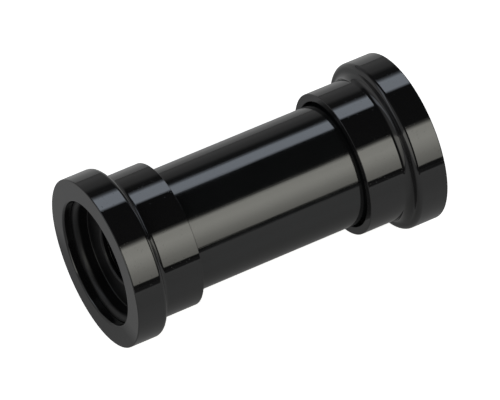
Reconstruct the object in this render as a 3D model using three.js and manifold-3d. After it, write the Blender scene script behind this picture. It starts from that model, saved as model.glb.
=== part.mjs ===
// Press-fit bottom bracket for a 46 mm frame shell: two flanged cups joined by a sleeve. Each cup holds a
// sealed ball bearing, a liner that fits the bearing to the spindle, and a dust seal. Millimetres, +Z up,
// spindle axis along X, origin on that axis midway between the cups. +X is the drive side (right), and -X
// is the left side.
//
// A cup's own profile is written in stations: 0 is its outboard face, and stations grow inboard.

import * as THREE from "three";
import { mergeVertices } from "three/addons/utils/BufferGeometryUtils.js";
import Module from "manifold-3d";

const wasm = await Module();
wasm.setup();

// ---- Driving dimensions -------------------------------------------------------------------------------
const SHELL_WIDTH = 86.5; // frame shell, and so the distance between the two shoulders
const SHELL_BORE = 46.0; // frame shell's bore, and so the cup body's diameter
const SPINDLE_DIAMETER = 19.0;

const FLANGE_HEIGHT = 4.15; // how far the flange stands past the body
const FLANGE_THICKNESS = 10.3; // outboard face to the shoulder that meets the shell
const FLANGE_EDGE_RADIUS = 1.6; // round between the flange's rim and the shoulder
const ROOT_RADIUS = 2.3; // fillet between the shoulder and the body
const SHOULDER_FLAT = 0.25; // least flat between those two rounds
const FACE_CHAMFER = 0.35;
const BODY_CHAMFER = 0.5;
const CUP_WALL = 2.6; // body wall around the sleeve's socket
const SOCKET_STEP = 1.8; // step from the socket in to the bearing's seat
const SOCKET_DEPTH = 6.5; // length of the socket, to the cup's inboard end
const SOCKET_CHAMFER = 0.35;

const MOUTH_STEP = 1.3; // step from the bearing's seat out to the mouth that the dust seal sits in
const MOUTH_CHAMFER = 0.75;
const RIB_HEIGHT = 1.5; // rib between the dust seal and the bearing, above the bearing's seat
const RIB_THICKNESS = 1.0;

const BEARING_WIDTH = 9.0;
const BALL_COUNT = 11;
const RING_CHAMFER = 0.4;
const RACE_CLEARANCE = 0.25; // ball to the bottom of either race
const CAGE_HEIGHT = 1.8; // radial
const CAGE_BACK_WALL = 0.5; // behind each ball's pocket
const BEARING_SEAL_THICKNESS = 0.85;
const BEARING_SEAL_INSET = 0.15; // bearing's face to its seal
const BEARING_SEAL_RECESS = 1.3; // depth of the seal's seat from the bearing's face

const LINER_WALL = 0.4;
const LINER_COLLAR_HEIGHT = 1.7; // collar over the inner ring's inboard face, above the ring's bore
const LINER_COLLAR_THICKNESS = 0.9;

const SEAL_RIM_DEPTH = 2.7; // outboard face to the dust seal's rounded rim
const SEAL_SKIRT = 2.2; // the skirt's thickness, and the radius of its rounded rim
const SEAL_BOWL_DEPTH = 4.4; // rounded rim to the front of the web
const SEAL_CORNER_RADIUS = 0.4; // inside corner between the skirt and the web
const SEAL_WALL_FLAT = 0.1; // least straight wall between that corner and the rim's round
const SEAL_WEB_THICKNESS = 1.5;
const SEAL_LIP_RADIUS = 0.85; // round on the lip where the spindle enters
const LIP_INTERFERENCE = 0.35; // how far the relaxed lip stands inside the spindle's radius

const SLEEVE_CLEARANCE = 0.85; // sleeve to the socket around it, which the O-ring closes
const SLEEVE_WALL = 2.0;
const SLEEVE_CHAMFER = 0.3;
const O_RING_CORD = 2.0;
const O_RING_INSET = 3.0; // sleeve end to the middle of the cord

const FIXED_GAP = 0.1; // between pieces that are pressed or seated together
const RUNNING_GAP = 0.2; // between pieces that turn against each other
const END_GAP = 0.3; // between faces that meet end to end
const SEGMENTS = 28; // facets around every round piece

// ---- Sizes that follow from them ----------------------------------------------------------------------
const BODY_RADIUS = SHELL_BORE / 2;
const FLANGE_RADIUS = BODY_RADIUS + FLANGE_HEIGHT;
const SOCKET_RADIUS = BODY_RADIUS - CUP_WALL;
const BEARING_SEAT_RADIUS = SOCKET_RADIUS - SOCKET_STEP;
const MOUTH_RADIUS = BEARING_SEAT_RADIUS + MOUTH_STEP;
const RIB_RADIUS = BEARING_SEAT_RADIUS - RIB_HEIGHT;
const ROOT_ROUND = Math.min(ROOT_RADIUS, FLANGE_HEIGHT - FLANGE_EDGE_RADIUS - SHOULDER_FLAT);

const SEAL_SKIRT_RADIUS = MOUTH_RADIUS - FIXED_GAP;
const SEAL_BORE_RADIUS = SEAL_SKIRT_RADIUS - SEAL_SKIRT;
const SEAL_CORNER_ROUND = Math.min(SEAL_CORNER_RADIUS, SEAL_BOWL_DEPTH - SEAL_SKIRT - SEAL_WALL_FLAT);
const SEAL_LIP_BORE = SPINDLE_DIAMETER / 2 - LIP_INTERFERENCE;
const SEAL_WEB_FRONT = SEAL_RIM_DEPTH + SEAL_BOWL_DEPTH;
const SEAL_WEB_BACK = SEAL_WEB_FRONT + SEAL_WEB_THICKNESS;

const RIB_FRONT = SEAL_WEB_BACK - RIB_THICKNESS + END_GAP;
const BEARING_FRONT = RIB_FRONT + RIB_THICKNESS + FIXED_GAP;
const BEARING_BACK = BEARING_FRONT + BEARING_WIDTH;
const BEARING_MIDDLE = (BEARING_FRONT + BEARING_BACK) / 2;
const SOCKET_START = BEARING_BACK + FIXED_GAP;
const CUP_LENGTH = SOCKET_START + SOCKET_DEPTH;
const HALF_LENGTH = SHELL_WIDTH / 2 + FLANGE_THICKNESS;

const LINER_RADIUS = SPINDLE_DIAMETER / 2 + LINER_WALL;
const BEARING_BORE_RADIUS = LINER_RADIUS + FIXED_GAP;
const BEARING_RADIUS = BEARING_SEAT_RADIUS - FIXED_GAP;
const PITCH_RADIUS = (BEARING_BORE_RADIUS + BEARING_RADIUS) / 2;
const CAGE_BACK = BEARING_WIDTH / 2 - BEARING_SEAL_INSET - BEARING_SEAL_THICKNESS - END_GAP;
// The ball is the largest that leaves both rings their walls and the cage its back.
const BALL_BY_SECTION = 0.6 * (BEARING_RADIUS - BEARING_BORE_RADIUS);
const BALL_BY_WIDTH = 2 * (CAGE_BACK - CAGE_BACK_WALL - RUNNING_GAP);
const BALL_DIAMETER = Math.min(BALL_BY_SECTION, BALL_BY_WIDTH);
const CAGE_OPEN_REACH = 0.32 * BALL_DIAMETER; // past the balls' centres on the open side
const INNER_SHOULDER_RADIUS = PITCH_RADIUS - 0.43 * BALL_DIAMETER;
const OUTER_SHOULDER_RADIUS = PITCH_RADIUS + 0.43 * BALL_DIAMETER;
const RACE_RADIUS = BALL_DIAMETER / 2 + RACE_CLEARANCE;
const SEAL_SEAT_RADIUS = OUTER_SHOULDER_RADIUS + 0.42 * (BEARING_RADIUS - OUTER_SHOULDER_RADIUS);

const SLEEVE_RADIUS = SOCKET_RADIUS - SLEEVE_CLEARANCE;
const SLEEVE_BORE_RADIUS = SLEEVE_RADIUS - SLEEVE_WALL;
const SLEEVE_HALF = HALF_LENGTH - SOCKET_START - END_GAP;
const O_RING_RADIUS = SOCKET_RADIUS - FIXED_GAP - O_RING_CORD / 2; // axis to the middle of the cord
const O_RING_GROOVE_RADIUS = O_RING_RADIUS - O_RING_CORD / 2 - FIXED_GAP;

// ---- Finishes -----------------------------------------------------------------------------------------
const blackPlastic = new THREE.MeshStandardMaterial({ color: 0x0c0d0e, roughness: 0.12, metalness: 0 });
const sleevePlastic = new THREE.MeshStandardMaterial({ color: 0x0d0e0f, roughness: 0.2, metalness: 0 });
const sealRubber = new THREE.MeshStandardMaterial({ color: 0x101112, roughness: 0.35, metalness: 0 });
const bearingSteel = new THREE.MeshStandardMaterial({ color: 0xb9bcc0, roughness: 0.2, metalness: 1 });
const cageNylon = new THREE.MeshStandardMaterial({ color: 0xd9cfae, roughness: 0.55, metalness: 0 });
const bearingRubber = new THREE.MeshStandardMaterial({ color: 0x1b1c1d, roughness: 0.6, metalness: 0 });

// ---- Making round pieces ------------------------------------------------------------------------------
const onX = (geometry) => geometry.rotateZ(-Math.PI / 2); // a lathe turns about Y, and these pieces about X

// Points on an arc about (x, r), from one angle to another: 0 is along +x, and 90 is away from the axis.
function arc(x, r, radius, fromDegrees, toDegrees, steps) {
  return Array.from({ length: steps + 1 }, (_, i) => {
    const angle = THREE.MathUtils.degToRad(fromDegrees + ((toDegrees - fromDegrees) * i) / steps);
    return [x + radius * Math.cos(angle), r + radius * Math.sin(angle)];
  });
}

// A closed ring about X from its section's outline, a list of [x, radius], whichever way the list runs.
function ring(outline) {
  const points = outline.map(([x, r]) => new THREE.Vector2(r, x));
  if (THREE.ShapeUtils.area(points) < 0) points.reverse();
  points.push(points[0].clone());
  return onX(new THREE.LatheGeometry(points, SEGMENTS));
}

// A geometry as a manifold-3d solid, and back.
function solid(geometry) {
  const bare = geometry.clone();
  bare.deleteAttribute("normal");
  bare.deleteAttribute("uv");
  const merged = mergeVertices(bare, 1e-4);
  return new wasm.Manifold(
    new wasm.Mesh({
      numProp: 3,
      vertProperties: new Float32Array(merged.attributes.position.array),
      triVerts: new Uint32Array(merged.index.array),
    }),
  );
}

function geometryOf(made) {
  const { vertProperties, triVerts } = made.getMesh();
  const geometry = new THREE.BufferGeometry();
  geometry.setAttribute("position", new THREE.BufferAttribute(vertProperties, 3));
  geometry.setIndex(new THREE.BufferAttribute(triVerts, 1));
  geometry.computeVertexNormals();
  return geometry;
}

// ---- Sections, in stations from the cup's outboard face -----------------------------------------------
function cupSection() {
  const rimEnd = FLANGE_THICKNESS - FLANGE_EDGE_RADIUS;
  return [
    [0, FLANGE_RADIUS - FACE_CHAMFER],
    [FACE_CHAMFER, FLANGE_RADIUS],
    ...arc(rimEnd, FLANGE_RADIUS - FLANGE_EDGE_RADIUS, FLANGE_EDGE_RADIUS, 90, 0, 3),
    ...arc(FLANGE_THICKNESS + ROOT_ROUND, BODY_RADIUS + ROOT_ROUND, ROOT_ROUND, 180, 270, 3),
    [CUP_LENGTH - BODY_CHAMFER, BODY_RADIUS],
    [CUP_LENGTH, BODY_RADIUS - BODY_CHAMFER],
    [CUP_LENGTH, SOCKET_RADIUS + SOCKET_CHAMFER],
    [CUP_LENGTH - SOCKET_CHAMFER, SOCKET_RADIUS],
    [SOCKET_START, SOCKET_RADIUS],
    [SOCKET_START, BEARING_SEAT_RADIUS],
    [RIB_FRONT + RIB_THICKNESS, BEARING_SEAT_RADIUS],
    [RIB_FRONT + RIB_THICKNESS, RIB_RADIUS],
    [RIB_FRONT, RIB_RADIUS],
    [RIB_FRONT, MOUTH_RADIUS],
    [MOUTH_CHAMFER, MOUTH_RADIUS],
    [0, MOUTH_RADIUS + MOUTH_CHAMFER],
  ];
}

function dustSealSection() {
  const back = RIB_FRONT - FIXED_GAP;
  const spigot = RIB_RADIUS - FIXED_GAP; // the web's back stands a little way into the rib
  return [
    [SEAL_RIM_DEPTH, SEAL_SKIRT_RADIUS],
    ...arc(SEAL_RIM_DEPTH + SEAL_SKIRT, SEAL_SKIRT_RADIUS, SEAL_SKIRT, 180, 270, 3).slice(1),
    ...arc(
      SEAL_WEB_FRONT - SEAL_CORNER_ROUND,
      SEAL_BORE_RADIUS - SEAL_CORNER_ROUND,
      SEAL_CORNER_ROUND,
      90,
      0,
      3,
    ),
    ...arc(SEAL_WEB_FRONT + SEAL_LIP_RADIUS, SEAL_LIP_BORE + SEAL_LIP_RADIUS, SEAL_LIP_RADIUS, 180, 270, 2),
    [SEAL_WEB_BACK, SEAL_LIP_BORE],
    [SEAL_WEB_BACK, spigot],
    [back, spigot],
    [back, SEAL_SKIRT_RADIUS],
  ];
}

// ---- Bearing sections, in offsets from the bearing's own middle ---------------------------------------
const RACE_HALF_WIDTH = Math.sqrt(RACE_RADIUS ** 2 - (OUTER_SHOULDER_RADIUS - PITCH_RADIUS) ** 2);
const RACE_STEPS = 3;

// The race's outline from one shoulder to the other: side is 1 in the outer ring and -1 in the inner ring.
function race(side) {
  const edge = THREE.MathUtils.radToDeg(Math.acos(RACE_HALF_WIDTH / RACE_RADIUS));
  return arc(0, PITCH_RADIUS, RACE_RADIUS, side * (180 - edge), side * edge, RACE_STEPS);
}

function outerRingSection() {
  const half = BEARING_WIDTH / 2;
  const seat = half - BEARING_SEAL_RECESS;
  const outside = BEARING_RADIUS;
  return [
    [-half, SEAL_SEAT_RADIUS],
    [-seat, SEAL_SEAT_RADIUS],
    [-seat, OUTER_SHOULDER_RADIUS],
    ...race(1),
    [seat, OUTER_SHOULDER_RADIUS],
    [seat, SEAL_SEAT_RADIUS],
    [half, SEAL_SEAT_RADIUS],
    [half, outside - RING_CHAMFER],
    [half - RING_CHAMFER, outside],
    [RING_CHAMFER - half, outside],
    [-half, outside - RING_CHAMFER],
  ];
}

function innerRingSection() {
  const half = BEARING_WIDTH / 2;
  return [
    [-half, INNER_SHOULDER_RADIUS],
    ...race(-1),
    [half, INNER_SHOULDER_RADIUS],
    [half, BEARING_BORE_RADIUS + RING_CHAMFER],
    [half - RING_CHAMFER, BEARING_BORE_RADIUS],
    [RING_CHAMFER - half, BEARING_BORE_RADIUS],
    [-half, BEARING_BORE_RADIUS + RING_CHAMFER],
  ];
}

// The liner in the inner ring's bore: a thin bush, with a collar over the ring's inboard face.
function linerSection() {
  const half = BEARING_WIDTH / 2;
  const collar = half + FIXED_GAP;
  const collarRadius = BEARING_BORE_RADIUS + LINER_COLLAR_HEIGHT;
  return [
    [-half, SPINDLE_DIAMETER / 2],
    [-half, LINER_RADIUS],
    [collar, LINER_RADIUS],
    [collar, collarRadius],
    [collar + LINER_COLLAR_THICKNESS, collarRadius],
    [collar + LINER_COLLAR_THICKNESS, SPINDLE_DIAMETER / 2],
  ];
}

// A bearing's own rubber seal: a bead in the outer ring's seat, a thin disc, and a lip over the inner ring.
function bearingSealSection() {
  const outboard = BEARING_SEAL_INSET - BEARING_WIDTH / 2;
  const inboard = outboard + BEARING_SEAL_THICKNESS;
  const bead = SEAL_SEAT_RADIUS - FIXED_GAP;
  const lip = INNER_SHOULDER_RADIUS + RUNNING_GAP;
  const dish = 0.2; // how much thinner the disc is, on each side
  return [
    [outboard, bead],
    [outboard, bead - 0.8],
    [outboard + dish, bead - 1.1],
    [outboard + dish, lip + 0.8],
    [outboard, lip],
    [inboard, lip],
    [inboard - dish, lip + 0.8],
    [inboard - dish, bead - 1.1],
    [inboard, bead - 0.8],
    [inboard, bead],
  ];
}

// A snap-in crown cage: one ring with a round pocket for each ball, open on the outboard side.
function cageGeometry() {
  const inside = PITCH_RADIUS - CAGE_HEIGHT / 2;
  const outside = PITCH_RADIUS + CAGE_HEIGHT / 2;
  let cage = solid(
    ring([
      [-CAGE_OPEN_REACH, inside],
      [CAGE_BACK, inside],
      [CAGE_BACK, outside],
      [-CAGE_OPEN_REACH, outside],
    ]),
  );
  for (let i = 0; i < BALL_COUNT; i++) {
    const [y, z] = ballPlace(i);
    const pocket = new THREE.SphereGeometry(BALL_DIAMETER / 2 + RUNNING_GAP, 8, 6);
    cage = cage.subtract(solid(pocket.translate(0, y, z)));
  }
  return geometryOf(cage);
}

function ballPlace(i) {
  const angle = (2 * Math.PI * i) / BALL_COUNT;
  return [PITCH_RADIUS * Math.sin(angle), PITCH_RADIUS * Math.cos(angle)];
}

// ---- The sleeve between the cups ----------------------------------------------------------------------
function sleeveSection() {
  const end = SLEEVE_HALF;
  const grooveHalf = O_RING_CORD / 2 + FIXED_GAP;
  const groove = end - O_RING_INSET;
  const rightHalf = [
    [groove - grooveHalf, SLEEVE_RADIUS],
    [groove - grooveHalf, O_RING_GROOVE_RADIUS],
    [groove + grooveHalf, O_RING_GROOVE_RADIUS],
    [groove + grooveHalf, SLEEVE_RADIUS],
    [end - SLEEVE_CHAMFER, SLEEVE_RADIUS],
    [end, SLEEVE_RADIUS - SLEEVE_CHAMFER],
    [end, SLEEVE_BORE_RADIUS],
  ];
  const leftHalf = rightHalf.map(([x, r]) => [-x, r]).reverse();
  return [...leftHalf, ...rightHalf];
}

// ---- Assembly -----------------------------------------------------------------------------------------
const bottomBracket = new THREE.Group();

function add(name, geometry, material) {
  const mesh = new THREE.Mesh(geometry, material);
  mesh.name = name;
  bottomBracket.add(mesh);
  return mesh;
}

add("center_sleeve", ring(sleeveSection()), sleevePlastic);

// side is -1 on the left and 1 on the right; stations count inboard from that side's outboard face.
for (const [label, side] of [["left", -1], ["right", 1]]) {
  const atStation = ([station, r]) => [side * (HALF_LENGTH - station), r];
  const bearingX = side * (HALF_LENGTH - BEARING_MIDDLE);
  const inBearing = ([offset, r]) => [bearingX - side * offset, r];

  add(`${label}_cup`, ring(cupSection().map(atStation)), blackPlastic);
  add(`${label}_dust_seal`, ring(dustSealSection().map(atStation)), sealRubber);

  add(`${label}_bearing_outer_ring`, ring(outerRingSection().map(inBearing)), bearingSteel);
  add(`${label}_bearing_inner_ring`, ring(innerRingSection().map(inBearing)), bearingSteel);
  add(`${label}_bearing_outboard_seal`, ring(bearingSealSection().map(inBearing)), bearingRubber);
  const inboardSeal = bearingSealSection().map(([offset, r]) => inBearing([-offset, r]));
  add(`${label}_bearing_inboard_seal`, ring(inboardSeal), bearingRubber);
  add(`${label}_spindle_liner`, ring(linerSection().map(inBearing)), blackPlastic);

  const cage = add(`${label}_bearing_cage`, cageGeometry(), cageNylon);
  cage.position.x = bearingX;
  if (side > 0) cage.rotation.z = Math.PI; // the crown opens outboard on both sides
  for (let i = 0; i < BALL_COUNT; i++) {
    const [y, z] = ballPlace(i);
    const number = String(i + 1).padStart(2, "0");
    const sphere = new THREE.SphereGeometry(BALL_DIAMETER / 2, 8, 6);
    const ball = add(`${label}_ball_${number}`, sphere, bearingSteel);
    ball.position.set(bearingX, side > 0 ? -y : y, z);
  }

  const cordX = side * (SLEEVE_HALF - O_RING_INSET);
  const cordSection = arc(cordX, O_RING_RADIUS, O_RING_CORD / 2, 0, 300, 5);
  add(`${label}_sleeve_o_ring`, ring(cordSection), sealRubber);
}

export default bottomBracket;
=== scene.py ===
"""A press-fit bottom bracket for a 46 mm frame shell, dressed for a studio picture.

Two flanged cups are joined by a sleeve. Each cup holds a dished dust seal, a sealed ball bearing, and the
liner that fits the bearing to the spindle.
Sizes are in millimetres and turned to metres where a mesh is made. The spindle axis is X, and each cup's
own sizes are written in stations: 0 is its outboard face, and stations grow inboard.
"""
import logging
import math
from dataclasses import dataclass, field
from enum import Enum
from typing import Callable, Iterable, Sequence

import bmesh
import bpy
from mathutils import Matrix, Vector


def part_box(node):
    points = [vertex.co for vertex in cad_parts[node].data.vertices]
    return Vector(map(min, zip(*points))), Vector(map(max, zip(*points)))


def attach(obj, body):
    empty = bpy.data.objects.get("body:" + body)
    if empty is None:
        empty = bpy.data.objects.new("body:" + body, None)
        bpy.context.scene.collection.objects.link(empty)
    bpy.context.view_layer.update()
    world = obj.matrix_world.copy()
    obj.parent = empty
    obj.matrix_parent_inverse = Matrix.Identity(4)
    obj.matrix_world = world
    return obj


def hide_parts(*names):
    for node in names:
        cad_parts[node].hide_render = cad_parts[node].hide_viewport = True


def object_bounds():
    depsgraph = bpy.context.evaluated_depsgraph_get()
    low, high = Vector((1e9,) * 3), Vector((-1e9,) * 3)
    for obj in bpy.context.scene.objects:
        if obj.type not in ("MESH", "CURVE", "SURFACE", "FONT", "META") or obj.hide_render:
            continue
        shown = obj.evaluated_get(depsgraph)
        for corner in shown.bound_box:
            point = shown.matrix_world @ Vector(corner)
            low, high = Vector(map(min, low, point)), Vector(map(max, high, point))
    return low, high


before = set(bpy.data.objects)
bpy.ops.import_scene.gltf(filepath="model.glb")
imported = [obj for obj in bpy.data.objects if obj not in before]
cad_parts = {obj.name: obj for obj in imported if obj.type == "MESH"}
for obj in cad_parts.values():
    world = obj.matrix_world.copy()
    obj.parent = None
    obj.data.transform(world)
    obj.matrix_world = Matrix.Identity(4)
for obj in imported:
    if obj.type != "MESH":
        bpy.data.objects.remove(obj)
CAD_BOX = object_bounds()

log = logging.getLogger("bottom_bracket")

MM = 0.001
SIDES = 192  # quads around a turned piece
ARC_STEP = math.radians(11.5)  # turn between two points of a rounded corner
SHARP_TURN = math.radians(40.0)  # a bigger turn than this is a crisp edge
WIPE_MM = 0.9  # spacing of the fine wipe marks on every finish
WAVE_HEIGHT_MM = 0.35  # height of a full-strength slow wave
MARK_HEIGHT_MM = 0.02  # height of a full-strength pit or line
BARE_SHARE = 0.86  # share of a moulded surface's cells that hold no pit
LINE_RADIUS_MM = 20.0  # distance from the axis at which the lines of a drawn tube have their true spacing
LINE_SHRINK = 0.01  # share of its true length along X that the drawn pattern sees

Point = tuple[float, float]  # (station or offset along X, radius), in millimetres


class Side(Enum):
    """Which end of the spindle a piece is at. The value is the sign of its X."""

    LEFT = -1
    RIGHT = 1

    @property
    def label(self) -> str:
        """The word that this side's nodes and bodies start with."""
        return self.name.lower()


# ---- Turning ------------------------------------------------------------------------------------------


@dataclass(frozen=True)
class Corner:
    """One corner of a section, with the radius that rounds it."""

    x: float
    r: float
    fillet: float = 0.0


def arc(x: float, r: float, radius: float, start: float, end: float) -> list[Point]:
    """Points on an arc.

    Args:
        x: The centre's place along X.
        r: The centre's distance from the axis.
        radius: The arc's radius.
        start: Where it starts, in degrees: 0 points along +X and 90 away from the axis.
        end: Where it ends, in degrees.

    Returns:
        The points from start to end, both included.
    """
    a, b = math.radians(start), math.radians(end)
    steps = max(2, math.ceil(abs(b - a) / ARC_STEP))
    angles = (a + (b - a) * i / steps for i in range(steps + 1))
    return [(x + radius * math.cos(t), r + radius * math.sin(t)) for t in angles]


def rounded(corner: Corner, before: Point, after: Point) -> list[Point]:
    """The points that round one corner of a section.

    Args:
        corner: The corner and its fillet.
        before: The section's previous corner.
        after: The section's next corner.

    Returns:
        The fillet's points in order, or the corner itself where it is left sharp.
    """
    at = Vector((corner.x, corner.r))
    to_before = (Vector(before) - at).normalized()
    to_after = (Vector(after) - at).normalized()
    turn = math.pi - to_before.angle(to_after)
    if corner.fillet <= 0 or turn < 1e-3:
        return [(corner.x, corner.r)]
    reach = corner.fillet * math.tan(turn / 2)
    centre = at + (to_before + to_after).normalized() * corner.fillet / math.cos(turn / 2)
    start, end = at + to_before * reach - centre, at + to_after * reach - centre
    steps = max(2, math.ceil(turn / ARC_STEP))
    points = []
    for i in range(steps + 1):
        share = i / steps
        spoke = start * math.sin((1 - share) * turn) + end * math.sin(share * turn)
        point = centre + spoke.normalized() * corner.fillet
        points.append((point.x, point.y))
    return points


def outline(parts: Iterable[Corner | list[Point]]) -> list[Point]:
    """A closed section from its corners and arcs.

    Args:
        parts: Corners, and lists of points for stretches that are arcs already, in order round the section.

    Returns:
        The section's points, each once.
    """
    parts = list(parts)
    points: list[Point] = []
    for i, part in enumerate(parts):
        if isinstance(part, list):
            points += part
            continue
        previous, following = parts[i - 1], parts[(i + 1) % len(parts)]
        before = previous[-1] if isinstance(previous, list) else (previous.x, previous.r)
        after = following[0] if isinstance(following, list) else (following.x, following.r)
        points += rounded(part, before, after)
    return points


def section_normals(points: Sequence[Vector]) -> list[tuple[Vector, Vector]]:
    """The outward normals at the two ends of each edge of a section.

    Args:
        points: The closed section, counter-clockwise as (x, r).

    Returns:
        For each edge, the normal at its start and at its end. A smooth vertex leans to its longer edge, so
        that a fillet meets a straight wall with the wall's own normal.
    """
    count = len(points)
    edges = [points[(i + 1) % count] - points[i] for i in range(count)]
    flat = [Vector((e.y, -e.x)).normalized() for e in edges]
    blended = []
    for i in range(count):
        before, after = edges[i - 1], edges[i]
        mixed = flat[i - 1] * before.length_squared + flat[i] * after.length_squared
        smooth = before.angle(after) < SHARP_TURN
        blended.append(mixed.normalized() if smooth else None)
    return [
        (blended[i] or flat[i], blended[(i + 1) % count] or flat[i])
        for i in range(count)
    ]


def turned(name: str, section: Sequence[Point], sides: int = SIDES) -> bpy.types.Object:
    """A closed ring about X, with the shading normals of its true section.

    Args:
        name: The object's name.
        section: Its section in millimetres, whichever way it runs.
        sides: How many quads go round it.

    Returns:
        The new object, linked to the scene.
    """
    points = [Vector(p) * MM for p in section]
    area = sum(a.cross(b) for a, b in zip(points, points[1:] + points[:1]))
    if area < 0:
        points.reverse()
    normals = section_normals(points)
    count = len(points)
    spokes = [(math.sin(t), math.cos(t)) for t in (2 * math.pi * j / sides for j in range(sides))]
    vertices = [(p.x, p.y * s, p.y * c) for s, c in spokes for p in points]
    faces, loop_normals = [], []
    for j in range(sides):
        k = (j + 1) % sides
        (s0, c0), (s1, c1) = spokes[j], spokes[k]
        for i in range(count):
            n = (i + 1) % count
            faces.append((j * count + i, k * count + i, k * count + n, j * count + n))
            a, b = normals[i]
            loop_normals += [
                (a.x, a.y * s0, a.y * c0),
                (a.x, a.y * s1, a.y * c1),
                (b.x, b.y * s1, b.y * c1),
                (b.x, b.y * s0, b.y * c0),
            ]
    mesh = bpy.data.meshes.new(name)
    mesh.from_pydata(vertices, [], faces)
    mesh.polygons.foreach_set("use_smooth", [True] * len(faces))
    mesh.normals_split_custom_set(loop_normals)
    piece = bpy.data.objects.new(name, mesh)
    bpy.context.scene.collection.objects.link(piece)
    return piece


# ---- Finishes -----------------------------------------------------------------------------------------


def linear(colour: str) -> tuple[float, float, float, float]:
    """An sRGB hex colour, such as #101011, as linear RGBA."""
    shares = [int(colour[i : i + 2], 16) / 255 for i in (1, 3, 5)]
    return (*(c / 12.92 if c <= 0.04045 else ((c + 0.055) / 1.055) ** 2.4 for c in shares), 1.0)


def add_node(
    tree: bpy.types.NodeTree,
    kind: str,
    settings: dict[str, object] | None = None,
    inputs: dict[str | int, object] | None = None,
) -> bpy.types.Node:
    """Adds one node.

    Args:
        tree: The node tree to add it to.
        kind: The node's type, without the leading ShaderNode.
        settings: Values for the node's own properties.
        inputs: For an input's name or number, either its value or the output socket that feeds it.

    Returns:
        The new node.
    """
    node = tree.nodes.new("ShaderNode" + kind)
    for key, value in (settings or {}).items():
        setattr(node, key, value)
    for key, value in (inputs or {}).items():
        if isinstance(value, bpy.types.NodeSocket):
            tree.links.new(value, node.inputs[key])
        else:
            node.inputs[key].default_value = value
    return node


class Pattern(Enum):
    """How a surface was worked, which sets the direction of its fine marks."""

    MOULDED = "moulded"  # tiny pits and a slow waviness, with no direction
    DRAWN = "drawn"  # faint lines along the axis, from the extrusion die
    GROUND = "ground"  # fine lines round the axis, from the grinding wheel


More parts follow.
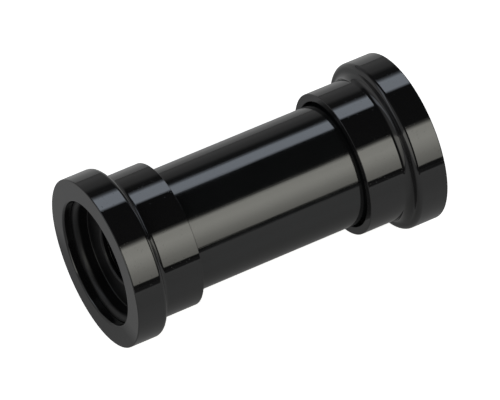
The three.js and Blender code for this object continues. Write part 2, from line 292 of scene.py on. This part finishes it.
@dataclass(frozen=True)
class Finish:
    """A material and how its surface was made.

    Attributes:
        name: The material's name: what it is and how it was worked.
        colour: Its sRGB colour.
        shade: The sRGB colour that it wanders towards in patches.
        roughness: Its lowest and highest roughness.
        pattern: How the surface was worked.
        mark_mm: The spacing of the pits or lines.
        mark_depth: Their strength as a bump, from 0 to 1.
        wave_mm: The width of the slow waves left by shrinkage or handling.
        wave_depth: Their strength as a bump, from 0 to 1.
        metallic: 1 for a metal.
        ior: Index of refraction.
        glow: Share of light scattered under the surface.
    """

    name: str
    colour: str
    shade: str
    roughness: tuple[float, float]
    pattern: Pattern
    mark_mm: float
    mark_depth: float
    wave_mm: float = 9.0
    wave_depth: float = 0.0
    metallic: float = 0.0
    ior: float = 1.5
    glow: float = 0.0

    def build(self) -> bpy.types.Material:
        """Makes the material, or returns it if it has been made already."""
        found = bpy.data.materials.get(self.name)
        if found:
            return found
        material = bpy.data.materials.new(self.name)
        material.use_nodes = True
        tree = material.node_tree
        shader = tree.nodes["Principled BSDF"]
        shader.inputs["Metallic"].default_value = self.metallic
        shader.inputs["IOR"].default_value = self.ior
        shader.inputs["Subsurface Weight"].default_value = self.glow
        shader.inputs["Subsurface Scale"].default_value = 1.0 * MM
        where = add_node(tree, "TexCoord").outputs["Object"]
        patches = add_node(
            tree,
            "TexNoise",
            {"noise_dimensions": "3D"},
            {"Vector": where, "Scale": 1 / (self.wave_mm * MM), "Detail": 4.0, "Roughness": 0.6},
        ).outputs["Fac"]
        self._colour(tree, shader, patches)
        self._roughness(tree, shader, patches, where)
        self._relief(tree, shader, where)
        return material

    def _colour(
        self, tree: bpy.types.NodeTree, shader: bpy.types.Node, patches: bpy.types.NodeSocket
    ) -> None:
        """Wanders between the two colours in slow patches."""
        mix = add_node(
            tree,
            "Mix",
            {"data_type": "RGBA"},
            {0: patches, 6: linear(self.colour), 7: linear(self.shade)},
        )
        tree.links.new(mix.outputs[2], shader.inputs["Base Color"])

    def _roughness(
        self,
        tree: bpy.types.NodeTree,
        shader: bpy.types.Node,
        patches: bpy.types.NodeSocket,
        where: bpy.types.NodeSocket,
    ) -> None:
        """Varies the gloss with handling: slow patches broken up by fine wipe marks."""
        fine = add_node(
            tree,
            "TexNoise",
            {},
            {"Vector": where, "Scale": 1 / (WIPE_MM * MM), "Detail": 3.0},
        ).outputs["Fac"]
        both = add_node(
            tree, "Math", {"operation": "MULTIPLY_ADD"}, {0: fine, 1: 0.35, 2: patches}
        ).outputs[0]
        low, high = self.roughness
        spread = add_node(
            tree,
            "MapRange",
            {},
            {"Value": both, "From Min": 0.45, "From Max": 0.9, "To Min": low, "To Max": high},
        )
        tree.links.new(spread.outputs["Result"], shader.inputs["Roughness"])

    def _relief(
        self, tree: bpy.types.NodeTree, shader: bpy.types.Node, where: bpy.types.NodeSocket
    ) -> None:
        """Adds the marks of the work on top of the slow waves, as two bumps."""
        waves = add_node(
            tree,
            "TexNoise",
            {},
            {"Vector": where, "Scale": 1 / (self.wave_mm * MM), "Detail": 1.0},
        ).outputs["Fac"]
        slow = add_node(
            tree,
            "Bump",
            {},
            {"Strength": self.wave_depth, "Distance": WAVE_HEIGHT_MM * MM, "Height": waves},
        ).outputs["Normal"]
        fast = add_node(
            tree,
            "Bump",
            {},
            {
                "Strength": self.mark_depth,
                "Distance": MARK_HEIGHT_MM * MM,
                "Height": self._marks(tree, where),
                "Normal": slow,
            },
        ).outputs["Normal"]
        tree.links.new(fast, shader.inputs["Normal"])

    def _marks(
        self, tree: bpy.types.NodeTree, where: bpy.types.NodeSocket
    ) -> bpy.types.NodeSocket:
        """The height of the pits or lines, from 0 to 1."""
        per_metre = 1 / (self.mark_mm * MM)
        if self.pattern is Pattern.MOULDED:
            cells = add_node(
                tree, "TexVoronoi", {}, {"Vector": where, "Scale": per_metre, "Randomness": 1.0}
            )
            # only some cells hold a pit: the cell's own random colour says which
            chance = add_node(tree, "SeparateColor", {}, {0: cells.outputs["Color"]}).outputs[0]
            bare = add_node(
                tree, "Math", {"operation": "LESS_THAN"}, {0: chance, 1: BARE_SHARE}
            ).outputs[0]
            return add_node(
                tree,
                "MapRange",
                {},
                {
                    "Value": add_node(
                        tree, "Math", {"operation": "ADD"}, {0: cells.outputs["Distance"], 1: bare}
                    ).outputs[0],
                    "From Min": 0.05,
                    "From Max": 0.28,
                },
            ).outputs["Result"]
        split = add_node(tree, "SeparateXYZ", {}, {0: where})
        x, y, z = (split.outputs[i] for i in range(3))
        if self.pattern is Pattern.DRAWN:
            angle = add_node(tree, "Math", {"operation": "ARCTAN2"}, {0: y, 1: z}).outputs[0]
            # the angle becomes a length, and X is shrunk so that the lines run along it
            around = add_node(
                tree, "Math", {"operation": "MULTIPLY"}, {0: angle, 1: LINE_RADIUS_MM * MM}
            ).outputs[0]
            along = add_node(
                tree, "Math", {"operation": "MULTIPLY"}, {0: x, 1: LINE_SHRINK}
            ).outputs[0]
            lines = add_node(tree, "CombineXYZ", {}, {0: around, 1: along}).outputs[0]
        else:
            radius = add_node(
                tree, "VectorMath", {"operation": "LENGTH"}, {
                    0: add_node(tree, "CombineXYZ", {}, {1: y, 2: z}).outputs[0]
                }
            ).outputs["Value"]
            lines = add_node(tree, "CombineXYZ", {}, {0: radius, 1: x}).outputs[0]
        return add_node(
            tree, "TexNoise", {}, {"Vector": lines, "Scale": per_metre, "Detail": 3.0}
        ).outputs["Fac"]


# Glossy nylon straight from a polished mould: near-black with crisp reflections and a few pits.
CUP_NYLON = Finish(
    "glossy_black_moulded_nylon",
    "#101011",
    "#131314",
    (0.025, 0.05),
    Pattern.MOULDED,
    mark_mm=0.5,
    mark_depth=0.5,
    wave_mm=11.0,
    wave_depth=0.07,
    ior=1.5,
)
# Extruded tube: as black as the cups, with faint lines along it.
SLEEVE_NYLON = Finish(
    "black_extruded_nylon",
    "#0e0f10",
    "#121314",
    (0.07, 0.12),
    Pattern.DRAWN,
    mark_mm=0.35,
    mark_depth=0.3,
    wave_mm=14.0,
    wave_depth=0.12,
    ior=1.5,
)
# Liner: the same nylon left duller where it grips the bearing and the spindle.
LINER_NYLON = Finish(
    "satin_black_moulded_nylon",
    "#08080a",
    "#0c0c0d",
    (0.2, 0.3),
    Pattern.MOULDED,
    mark_mm=0.3,
    mark_depth=0.2,
    ior=1.5,
)
# Moulded seal rubber: a softer sheen that spreads each highlight.
SEAL_RUBBER = Finish(
    "black_moulded_seal_rubber",
    "#050506",
    "#080809",
    (0.30, 0.38),
    Pattern.MOULDED,
    mark_mm=0.3,
    mark_depth=0.35,
    wave_mm=6.0,
    wave_depth=0.05,
    ior=1.34,
)
# Bearing steel off the grinding wheel: bright, with fine lines round it.
RING_STEEL = Finish(
    "ground_bearing_steel",
    "#c3c5c9",
    "#b4b6bb",
    (0.14, 0.26),
    Pattern.GROUND,
    mark_mm=0.12,
    mark_depth=0.5,
    metallic=1.0,
)
# Lapped balls: mirror bright.
BALL_STEEL = Finish(
    "lapped_bearing_steel",
    "#d3d4d8",
    "#cbccd0",
    (0.03, 0.06),
    Pattern.MOULDED,
    mark_mm=0.4,
    mark_depth=0.05,
    metallic=1.0,
)
# Natural nylon cage: creamy and a little translucent.
CAGE_NYLON = Finish(
    "natural_moulded_nylon",
    "#d8cda9",
    "#cdc09a",
    (0.4, 0.52),
    Pattern.MOULDED,
    mark_mm=0.3,
    mark_depth=0.3,
    ior=1.53,
    glow=0.15,
)
# Nitrile on the bearing's own seals: dull, with a fine mould grain.
NITRILE = Finish(
    "matte_moulded_nitrile",
    "#1b1b1c",
    "#202021",
    (0.5, 0.62),
    Pattern.MOULDED,
    mark_mm=0.2,
    mark_depth=0.6,
    ior=1.52,
)
# O-ring cord: smoother nitrile with a greased sheen.
O_RING_NITRILE = Finish(
    "greased_nitrile_cord",
    "#121213",
    "#171718",
    (0.22, 0.36),
    Pattern.MOULDED,
    mark_mm=0.25,
    mark_depth=0.3,
    ior=1.52,
)


def place(
    piece: bpy.types.Object, finish: Finish, body: str, node: str
) -> bpy.types.Object:
    """Gives a piece its finish and puts it in its CAD node's place.

    Args:
        piece: The finished object.
        finish: What it is made of.
        body: The CAD body that it moves with.
        node: The CAD node that it stands for.

    Returns:
        The same object.
    """
    piece.data.materials.clear()
    piece.data.materials.append(finish.build())
    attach(piece, body)
    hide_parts(node)
    log.info("%s: %d faces in %s", piece.name, len(piece.data.polygons), finish.name)
    return piece


# ---- The cup, its dust seal and its bearing -----------------------------------------------------------


@dataclass(frozen=True)
class Cup:
    """One flanged cup, pressed into the frame from its own side."""

    side: Side
    flange_radius: float = 27.15
    flange_thickness: float = 10.3
    flange_round: float = 1.6
    root_round: float = 2.3
    face_round: float = 0.35
    body_radius: float = 23.0
    length: float = 24.6
    end_round: float = 0.2
    socket_radius: float = 20.4
    socket_round: float = 0.35
    socket_start: float = 18.1
    seat_radius: float = 18.6
    rib_front: float = 7.9
    rib_back: float = 8.9
    rib_radius: float = 17.1
    mouth_radius: float = 19.9
    mouth_round: float = 0.75
    inner_round: float = 0.2

    def section(self) -> list[Point]:
        """The cup's section, in stations."""
        return outline([
            Corner(0, self.flange_radius, self.face_round),
            Corner(self.flange_thickness, self.flange_radius, self.flange_round),
            Corner(self.flange_thickness, self.body_radius, self.root_round),
            Corner(self.length, self.body_radius, self.end_round),
            Corner(self.length, self.socket_radius, self.socket_round),
            Corner(self.socket_start, self.socket_radius, self.inner_round),
            Corner(self.socket_start, self.seat_radius, self.inner_round),
            Corner(self.rib_back, self.seat_radius),
            Corner(self.rib_back, self.rib_radius, self.inner_round),
            Corner(self.rib_front, self.rib_radius, self.inner_round),
            Corner(self.rib_front, self.mouth_radius, self.inner_round),
            Corner(0, self.mouth_radius, self.mouth_round),
        ])

    def build(self, at: Callable[[Iterable[Point]], list[Point]]) -> None:
        """Makes the cup.

        Args:
            at: Turns stations into places along X on this side.
        """
        node = f"{self.side.label}_cup"
        piece = turned(f"{self.side.label}_flanged_cup", at(self.section()))
        place(piece, CUP_NYLON, f"{self.side.label}_side", node)


@dataclass(frozen=True)
class DustSeal:
    """The dished seal in a cup's mouth, whose lip runs on the spindle."""

    side: Side
    rim: float = 2.7
    skirt_radius: float = 19.8
    skirt: float = 2.2
    bowl_depth: float = 4.4
    corner_round: float = 0.3
    web: float = 1.5
    lip_radius: float = 9.15
    lip_round: float = 0.85
    shoulder: float = 7.8
    spigot_radius: float = 17.0

    def section(self) -> list[Point]:
        """The seal's section, in stations."""
        front = self.rim + self.bowl_depth
        bore = self.skirt_radius - self.skirt
        return outline([
            Corner(self.rim, self.skirt_radius, 0.15),
            Corner(self.rim, bore, self.skirt * 0.9),
            Corner(front, bore, self.corner_round),
            Corner(front, self.lip_radius, self.lip_round),
            Corner(front + self.web, self.lip_radius, 0.1),
            Corner(front + self.web, self.spigot_radius, 0.15),
            Corner(self.shoulder, self.spigot_radius),
            Corner(self.shoulder, self.skirt_radius, 0.15),
        ])

    def build(self, at: Callable[[Iterable[Point]], list[Point]]) -> None:
        """Makes the seal.

        Args:
            at: Turns stations into places along X on this side.
        """
        node = f"{self.side.label}_dust_seal"
        piece = turned(f"{self.side.label}_dished_dust_seal", at(self.section()))
        place(piece, SEAL_RUBBER, f"{self.side.label}_side", node)


@dataclass(frozen=True)
class Bearing:
    """A sealed deep-groove ball bearing. Its offsets grow inboard from its own middle."""

    side: Side
    outside_radius: float = 18.5
    bore_radius: float = 10.0
    width: float = 9.0
    outer_shoulder: float = 16.4
    inner_shoulder: float = 12.1
    seal_seat: float = 17.28
    seal_recess: float = 1.3
    edge_round: float = 0.4
    pitch_radius: float = 14.25
    ball_radius: float = 2.5
    balls: int = 11
    race_radius: float = 2.6  # the true groove: the CAD's is wider, to clear its own facets
    cage_inside: float = 13.35
    cage_outside: float = 15.15
    cage_open: float = -1.6
    cage_back: float = 3.2
    pocket_clearance: float = 0.15
    seal_face: float = 0.15  # how far a seal lies below the bearing's face
    seal_thickness: float = 0.85
    seal_dish: float = 0.2  # how far the seal's middle lies below its bead and lip
    seal_bead: float = 0.8
    seal_lip: float = 0.7
    seal_slope: float = 1.1  # from the edge of the seal to the foot of its bead or lip
    seal_heel: float = 0.8  # from the lip to where its back steps in

    @property
    def start(self) -> str:
        """What this bearing's node names start with."""
        return f"{self.side.label}_bearing"

    def race(self, outward: int) -> list[Point]:
        """One race's arc from the outboard shoulder to the inboard one, outward 1 or -1."""
        shoulder = self.outer_shoulder if outward > 0 else self.inner_shoulder
        edge = math.degrees(math.asin(abs(shoulder - self.pitch_radius) / self.race_radius))
        return arc(0, self.pitch_radius, self.race_radius, outward * (180 - edge), outward * edge)

    def outer_ring(self) -> list[Point]:
        """The outer ring's section."""
        half, seat = self.width / 2, self.width / 2 - self.seal_recess
        return outline([
            Corner(-half, self.seal_seat, 0.12),
            Corner(-seat, self.seal_seat, 0.1),
            Corner(-seat, self.outer_shoulder, 0.12),
            self.race(1),
            Corner(seat, self.outer_shoulder, 0.12),
            Corner(seat, self.seal_seat, 0.1),
            Corner(half, self.seal_seat, 0.12),
            Corner(half, self.outside_radius, self.edge_round),
            Corner(-half, self.outside_radius, self.edge_round),
        ])

    def inner_ring(self) -> list[Point]:
        """The inner ring's section."""
        half = self.width / 2
        return outline([
            Corner(-half, self.inner_shoulder, 0.15),
            self.race(-1),
            Corner(half, self.inner_shoulder, 0.15),
            Corner(half, self.bore_radius, self.edge_round),
            Corner(-half, self.bore_radius, self.edge_round),
        ])

    def seal(self, inboard: int) -> list[Point]:
        """A seal's section on the inboard face, 1, or the outboard face, -1."""
        low = self.width / 2 - self.seal_face - self.seal_thickness
        high = low + self.seal_thickness
        bead, lip = self.seal_seat - 0.1, self.inner_shoulder + 0.2
        section = outline([
            Corner(high, bead, 0.25),
            Corner(high, bead - self.seal_bead, 0.1),
            Corner(high - self.seal_dish, bead - self.seal_slope, 0.1),
            Corner(high - self.seal_dish, lip + self.seal_slope, 0.1),
            Corner(high, lip + self.seal_lip, 0.12),
            Corner(high, lip, 0.12),
            Corner(low, lip, 0.1),
            Corner(low + self.seal_dish, lip + self.seal_heel, 0.1),
            Corner(low + self.seal_dish, bead - self.seal_slope, 0.1),
            Corner(low, bead - self.seal_bead, 0.1),
            Corner(low, bead, 0.25),
        ])
        return [(inboard * x, r) for x, r in section]

    def ball_spokes(self) -> list[tuple[float, float]]:
        """The (y, z) of each ball's centre, in millimetres, in the order of the balls' numbers."""
        angles = (2 * math.pi * i / self.balls for i in range(self.balls))
        return [
            (-self.side.value * self.pitch_radius * math.sin(t), self.pitch_radius * math.cos(t))
            for t in angles
        ]

    def ball(self, name: str, centre: Vector, radius: float, cuts: int = 8) -> bpy.types.Object:
        """A ball from a cube cut into squares and lapped round.

        Args:
            name: The object's name.
            centre: Its centre, in metres.
            radius: Its radius, in metres.
            cuts: How many squares go along each edge of the cube.

        Returns:
            The new object.
        """
        shape = bmesh.new()
        bmesh.ops.create_cube(shape, size=2.0)
        bmesh.ops.subdivide_edges(shape, edges=shape.edges[:], cuts=cuts - 1, use_grid_fill=True)
        for vertex in shape.verts:
            # tan spreads the squares evenly over the ball
            even = Vector(math.tan(c * math.pi / 4) for c in vertex.co)
            vertex.co = centre + even.normalized() * radius
        for face in shape.faces:
            face.smooth = True
        mesh = bpy.data.meshes.new(name)
        shape.to_mesh(mesh)
        shape.free()
        piece = bpy.data.objects.new(name, mesh)
        bpy.context.scene.collection.objects.link(piece)
        return piece

    def cage(self, middle: float) -> bpy.types.Object:
        """The crown cage: a ring with a round pocket for each ball, open on the outboard side.

        Args:
            middle: The bearing's place along X, in metres.

        Returns:
            The new object.
        """
        section = outline([
            Corner(self.cage_open, self.cage_inside, 0.3),
            Corner(self.cage_back, self.cage_inside, 0.25),
            Corner(self.cage_back, self.cage_outside, 0.25),
            Corner(self.cage_open, self.cage_outside, 0.3),
        ])
        offset = middle / MM
        ring = turned(
            f"{self.side.label}_crown_cage",
            [(offset - self.side.value * x, r) for x, r in section],
        )
        pocket = (self.ball_radius + self.pocket_clearance) * MM
        for y, z in self.ball_spokes():
            cutter = self.ball("pocket_cutter", Vector((middle, y * MM, z * MM)), pocket, cuts=12)
            cut = ring.modifiers.new("pocket", "BOOLEAN")
            cut.operation, cut.solver, cut.object = "DIFFERENCE", "EXACT", cutter
            apply_modifiers(ring)
            bpy.data.objects.remove(cutter)
        return ring

    def build(self, at: Callable[[Iterable[Point]], list[Point]], middle: float) -> None:
        """Makes the rings, seals, cage and balls.

        Args:
            at: Turns offsets from this bearing's middle into places along X on this side.
            middle: The bearing's place along X, in metres.
        """
        label, fixed = self.side.label, f"{self.side.label}_side"
        turned_pieces = [
            ("outer_ring", self.outer_ring(), RING_STEEL, "bearing_steel", fixed),
            ("inner_ring", self.inner_ring(), RING_STEEL, "bearing_steel", f"{label}_inner_ring"),
            ("outboard_seal", self.seal(-1), NITRILE, "bearing_rubber", fixed),
            ("inboard_seal", self.seal(1), NITRILE, "bearing_rubber", fixed),
        ]
        for word, section, finish, slot, body in turned_pieces:
            piece = turned(f"{label}_sealed_{word}", at(section))
            place(piece, finish, body, f"{self.start}_{word}")
        turning = f"{label}_cage"
        place(self.cage(middle), CAGE_NYLON, turning, f"{self.start}_cage")
        for number, (y, z) in enumerate(self.ball_spokes(), start=1):
            centre = Vector((middle, y * MM, z * MM))
            ball = self.ball(f"{label}_lapped_ball_{number:02d}", centre, self.ball_radius * MM)
            place(ball, BALL_STEEL, turning, f"{label}_ball_{number:02d}")


@dataclass(frozen=True)
class SpindleLiner:
    """The thin bush in a bearing's bore, collared over the inner ring, in the bearing's own offsets."""

    side: Side
    bore_radius: float = 9.5
    radius: float = 9.9
    collar_radius: float = 11.7
    front: float = -4.5
    collar_front: float = 4.6
    back: float = 5.5
    edge_round: float = 0.12

    def section(self) -> list[Point]:
        """The liner's section."""
        return outline([
            Corner(self.front, self.bore_radius, self.edge_round),
            Corner(self.front, self.radius, self.edge_round),
            Corner(self.collar_front, self.radius, 0.08),
            Corner(self.collar_front, self.collar_radius, self.edge_round),
            Corner(self.back, self.collar_radius, 0.3),
            Corner(self.back, self.bore_radius, 0.3),
        ])

    def build(self, at: Callable[[Iterable[Point]], list[Point]]) -> None:
        """Makes the liner.

        Args:
            at: Turns offsets from the bearing's middle into places along X on this side.
        """
        label = self.side.label
        piece = turned(f"{label}_collared_liner", at(self.section()))
        place(piece, LINER_NYLON, f"{label}_inner_ring", f"{label}_spindle_liner")


@dataclass(frozen=True)
class Sleeve:
    """The tube that joins the cups and keeps grit off the spindle, with an O-ring near each end."""

    radius: float = 19.55
    wall: float = 2.0
    end_round: float = 0.3
    cord: float = 2.0
    cord_inset: float = 3.0
    cord_radius: float = 19.3  # axis to the middle of the cord
    groove_gap: float = 0.1

    def section(self, half: float) -> list[Point]:
        """The sleeve's section.

        Args:
            half: Half its length.

        Returns:
            The section as places along X.
        """
        floor = self.cord_radius - self.cord / 2 - self.groove_gap
        reach = self.cord / 2 + self.groove_gap
        groove = half - self.cord_inset
        right = [
            (groove - reach, self.radius, 0.15),
            (groove - reach, floor, 0.2),
            (groove + reach, floor, 0.2),
            (groove + reach, self.radius, 0.15),
            (half, self.radius, self.end_round),
            (half, self.radius - self.wall, self.end_round),
        ]
        left = [(-x, r, fillet) for x, r, fillet in reversed(right)]
        return outline(Corner(*c) for c in left + right)

    def build(self) -> None:
        """Makes the sleeve and its two O-rings."""
        low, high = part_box("center_sleeve")
        half = (high.x - low.x) / 2 / MM
        tube = turned("joining_sleeve", self.section(half))
        place(tube, SLEEVE_NYLON, "sleeve", "center_sleeve")
        for side in Side:
            middle = side.value * (half - self.cord_inset)
            cord = turned(
                f"{side.label}_sleeve_seal_ring",
                arc(middle, self.cord_radius, self.cord / 2, 0, 360)[:-1],
            )
            place(cord, O_RING_NITRILE, "sleeve", f"{side.label}_sleeve_o_ring")


def apply_modifiers(piece: bpy.types.Object) -> None:
    """Turns a piece's modifiers into its mesh."""
    graph = bpy.context.evaluated_depsgraph_get()
    mesh = bpy.data.meshes.new_from_object(piece.evaluated_get(graph))
    piece.modifiers.clear()
    piece.data = mesh


# ---- The studio ---------------------------------------------------------------------------------------


Light = tuple[float, float, str]  # (place, level, sRGB tint)

WARM, COOL, WHITE = "#fffef4", "#e8f2ff", "#ffffff"
# Two soft boxes by their degrees around X, from level in front.
# A wide warm one stands in front, and a narrow cool one behind.
SOFT_BOXES: list[Light] = [
    (4.6, 0.0, WARM),
    (5.4, 0.44, WARM),
    (18.0, 0.62, WARM),
    (30.0, 0.88, WARM),
    (38.0, 1.0, WARM),
    (52.6, 0.93, WARM),
    (57.4, 0.12, WARM),
    (60.4, 0.0, WARM),
    (110.4, 0.0, COOL),
    (114.2, 0.77, COOL),
    (130.0, 0.70, COOL),
    (134.5, 0.16, COOL),
    (138.0, 0.0, COOL),
]
# How bright the boxes are by their reach along X: full just right of the middle, and dimmer at both ends.
SOFT_BOX_REACH: list[Light] = [
    (-1.0, 0.35, WHITE),
    (-0.45, 0.35, WHITE),
    (-0.30, 0.0, WHITE),
    (0.18, 0.0, WHITE),
    (0.25, 1.0, WHITE),
    (0.42, 1.0, WHITE),
    (0.52, 0.05, WHITE),
    (0.75, 0.05, WHITE),
    (0.88, 0.40, WHITE),
]
# A pale wall far to the left, by its reach along X.
LEFT_WALL: list[Light] = [
    (-1.0, 0.10, WHITE),
    (-0.6, 0.09, WHITE),
    (-0.3, 0.0, WHITE),
]
# The room around them, almost black overhead and dim behind.
ROOM: list[Light] = [
    (0.0, 0.006, WHITE),
    (57.0, 0.0035, WHITE),
    (110.0, 0.0035, WHITE),
    (146.0, 0.012, WHITE),
    (154.0, 0.06, WHITE),
    (172.0, 0.075, WHITE),
    (180.0, 0.055, WHITE),
]
# Painted shade on the card as it is reflected, in front of the object (below 0) and behind it, by metres
# along Y: darker near the object, where its shadow falls, and dark where the card ends in front of it.
REFLECTED_CARD_PAINTED_SHADE: list[Light] = [
    (-0.70, 0.04, WHITE),
    (-0.52, 0.06, WHITE),
    (-0.42, 0.40, WHITE),
    (-0.142, 0.345, WHITE),
    (-0.069, 0.31, WHITE),
    (-0.054, 0.285, WHITE),
    (-0.034, 0.215, WHITE),
    (-0.017, 0.147, WHITE),
    (0.030, 0.15, WHITE),
    (0.120, 0.31, WHITE),
    (0.80, 0.30, WHITE),
]
# The same painted level past the object's left end, by metres along X: out of the painted shade, the card
# is paler there.
REFLECTED_CARD_PAINTED_SHADE_BESIDE: list[Light] = [
    (-1.0, 0.25, WHITE),
    (-0.062, 0.24, WHITE),
    (-0.056, 0.0, WHITE),
]


@dataclass(frozen=True)
class Studio:
    """A pale floor, two soft boxes and a long lens."""

    azimuth: float = -29.8
    elevation: float = 46.9
    distance: float = 1.676
    lens: float = 399.0
    rise: float = 0.0018  # how far up the picture the object sits, over the picture's width
    floor_size: float = 24.0
    glow: float = 4.6  # strength of the soft boxes and the room
    card_lift: float = 0.85  # light added to the card where it is seen directly
    card_painted_glow: float = 1.2  # painted glow: light given off by the card where it is reflected, standing in for the room's other lamps
    sight: float = 100.0  # how far the camera sees, in metres

    def camera(self) -> None:
        """Sets the camera, aimed at the middle of the spindle axis."""
        turn, tilt = math.radians(self.azimuth), math.radians(self.elevation)
        away = Vector((
            math.sin(turn) * math.cos(tilt), -math.cos(turn) * math.cos(tilt), math.sin(tilt)
        ))
        data = bpy.data.cameras.new("long_lens")
        data.lens = self.lens
        data.shift_y = -self.rise
        data.clip_end = self.sight
        camera = bpy.data.objects.new("long_lens", data)
        camera.location = away * self.distance
        camera.rotation_euler = away.to_track_quat("Z", "Y").to_euler()
        bpy.context.scene.collection.objects.link(camera)
        bpy.context.scene.camera = camera

    def floor(self) -> None:
        """Makes the pale floor that the flanges rest on."""
        height = CAD_BOX[0][2]
        half = self.floor_size / 2
        mesh = bpy.data.meshes.new("floor")
        corners = [(-half, -half), (half, -half), (half, half), (-half, half)]
        mesh.from_pydata([(x, y, height) for x, y in corners], [], [(0, 1, 2, 3)])
        floor = bpy.data.objects.new("floor", mesh)
        bpy.context.scene.collection.objects.link(floor)
        mesh.materials.append(self.floor_finish())

    def floor_finish(self) -> bpy.types.Material:
        """Matte white card, lit bright where it is seen directly; where it is reflected, a paler grey with
        painted shade near the object and a painted glow.
        """
        material = bpy.data.materials.new("matte_white_card")
        material.use_nodes = True
        tree = material.node_tree
        tree.nodes.clear()
        seen = add_node(tree, "LightPath").outputs["Is Camera Ray"]
        card = add_node(tree, "BsdfDiffuse", {}, {"Color": linear("#f4f4f2")})
        lift = add_node(tree, "Emission", {}, {"Color": linear("#ffffff"), "Strength": self.card_lift})
        bright = add_node(tree, "AddShader", {}, {0: card.outputs[0], 1: lift.outputs[0]})
        spot = add_node(tree, "NewGeometry").outputs["Position"]
        # painted shade: the reflected card is painted darker around the object, where its shadow falls, and
        # darker still where the card ends in front of it
        split = add_node(tree, "SeparateXYZ", {}, {0: spot})
        beside = self.ramp(tree, split.outputs[0], REFLECTED_CARD_PAINTED_SHADE_BESIDE, -1, 1)
        around = self.ramp(tree, split.outputs[1], REFLECTED_CARD_PAINTED_SHADE, -1, 1)
        shade = self.blend(tree, "LIGHTEN", around, beside)
        # painted shade: the card as reflected is a diffuse grey set by the painted levels above
        dull = add_node(tree, "BsdfDiffuse", {}, {"Color": shade})
        # painted glow: the reflected card also emits its painted grey, as if lit by the room's other lamps
        painted_glow = add_node(tree, "Emission", {}, {"Color": shade, "Strength": self.card_painted_glow})
        dim = add_node(tree, "AddShader", {}, {0: dull.outputs[0], 1: painted_glow.outputs[0]})
        mix = add_node(tree, "MixShader", {}, {0: seen, 1: dim.outputs[0], 2: bright.outputs[0]})
        add_node(tree, "OutputMaterial", {}, {"Surface": mix.outputs[0]})
        return material

    def lights(self) -> None:
        """Lights the object from two long soft boxes along X, in a dim room."""
        world = bpy.data.worlds.new("soft_boxes")
        bpy.context.scene.world = world
        world.use_nodes = True
        tree = world.node_tree
        tree.nodes.clear()
        way = add_node(tree, "TexCoord").outputs["Generated"]
        split = add_node(tree, "SeparateXYZ", {}, {0: way})
        front = add_node(
            tree, "Math", {"operation": "MULTIPLY"}, {0: split.outputs[1], 1: -1.0}
        ).outputs[0]
        # 0 is level in front, 90 straight up and 180 level behind
        height = add_node(
            tree, "Math", {"operation": "ARCTAN2"}, {0: split.outputs[2], 1: front}
        ).outputs[0]
        degrees = add_node(tree, "Math", {"operation": "DEGREES"}, {0: height}).outputs[0]
        boxes = self.ramp(tree, degrees, SOFT_BOXES, 0, 180)
        room = self.ramp(tree, degrees, ROOM, 0, 180)
        reach = self.ramp(tree, split.outputs[0], SOFT_BOX_REACH, -1, 1)
        wall = self.ramp(tree, split.outputs[0], LEFT_WALL, -1, 1)
        lit = self.blend(tree, "MULTIPLY", boxes, reach)
        colour = self.blend(tree, "ADD", self.blend(tree, "ADD", lit, room), wall)
        sky = add_node(tree, "Background", {}, {"Color": colour, "Strength": self.glow})
        add_node(tree, "OutputWorld", {}, {"Surface": sky.outputs[0]})

    @staticmethod
    def blend(
        tree: bpy.types.NodeTree, how: str, one: bpy.types.NodeSocket, other: bpy.types.NodeSocket
    ) -> bpy.types.NodeSocket:
        """Mixes two colours fully, by the blend type that how names."""
        settings = {"data_type": "RGBA", "blend_type": how}
        return add_node(tree, "Mix", settings, {0: 1.0, 6: one, 7: other}).outputs[2]

    @staticmethod
    def ramp(
        tree: bpy.types.NodeTree,
        value: bpy.types.NodeSocket,
        profile: Sequence[Light],
        low: float,
        high: float,
    ) -> bpy.types.NodeSocket:
        """The colour that a profile gives to a value.

        Args:
            tree: The node tree to add to.
            value: Where along the profile to look.
            profile: The place, level and tint of each stop, in order.
            low: The place that is the ramp's start.
            high: The place that is the ramp's end.

        Returns:
            The colour.
        """
        spread = {"Value": value, "From Min": low, "From Max": high}
        share = add_node(tree, "MapRange", {}, spread).outputs["Result"]
        made = add_node(tree, "ValToRGB", {}, {0: share})
        stops = made.color_ramp.elements
        while len(stops) < len(profile):
            stops.new(0.5)
        for stop, (at, level, tint) in zip(stops, profile):
            stop.position = (at - low) / (high - low)
            stop.color = (*(c * level for c in linear(tint)[:3]), 1.0)
        return made.outputs["Color"]

    def build(self) -> None:
        """Sets up the whole studio, with colours shown as they are."""
        bpy.context.scene.view_settings.view_transform = "Standard"
        self.camera()
        self.floor()
        self.lights()


@dataclass(frozen=True)
class BottomBracket:
    """The whole object: two mirrored halves and the sleeve between them."""

    bearing_front: float = 9.0
    sleeve: Sleeve = field(default_factory=Sleeve)

    def build(self) -> None:
        """Makes both halves, then the sleeve."""
        for side in Side:
            low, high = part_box(f"{side.label}_cup")
            face = (low.x if side is Side.LEFT else high.x) / MM
            bearing = Bearing(side)
            middle = face - side.value * (self.bearing_front + bearing.width / 2)

            def inboard_from(start: float, sign: int = side.value) -> Callable:
                return lambda section: [(start - sign * x, r) for x, r in section]

            Cup(side).build(inboard_from(face))
            DustSeal(side).build(inboard_from(face))
            bearing.build(inboard_from(middle), middle * MM)
            SpindleLiner(side).build(inboard_from(middle))
        self.sleeve.build()


def main() -> None:
    logging.basicConfig(level=logging.INFO, format="%(name)s: %(message)s")
    BottomBracket().build()
    Studio().build()


if __name__ == "__main__":
    main()
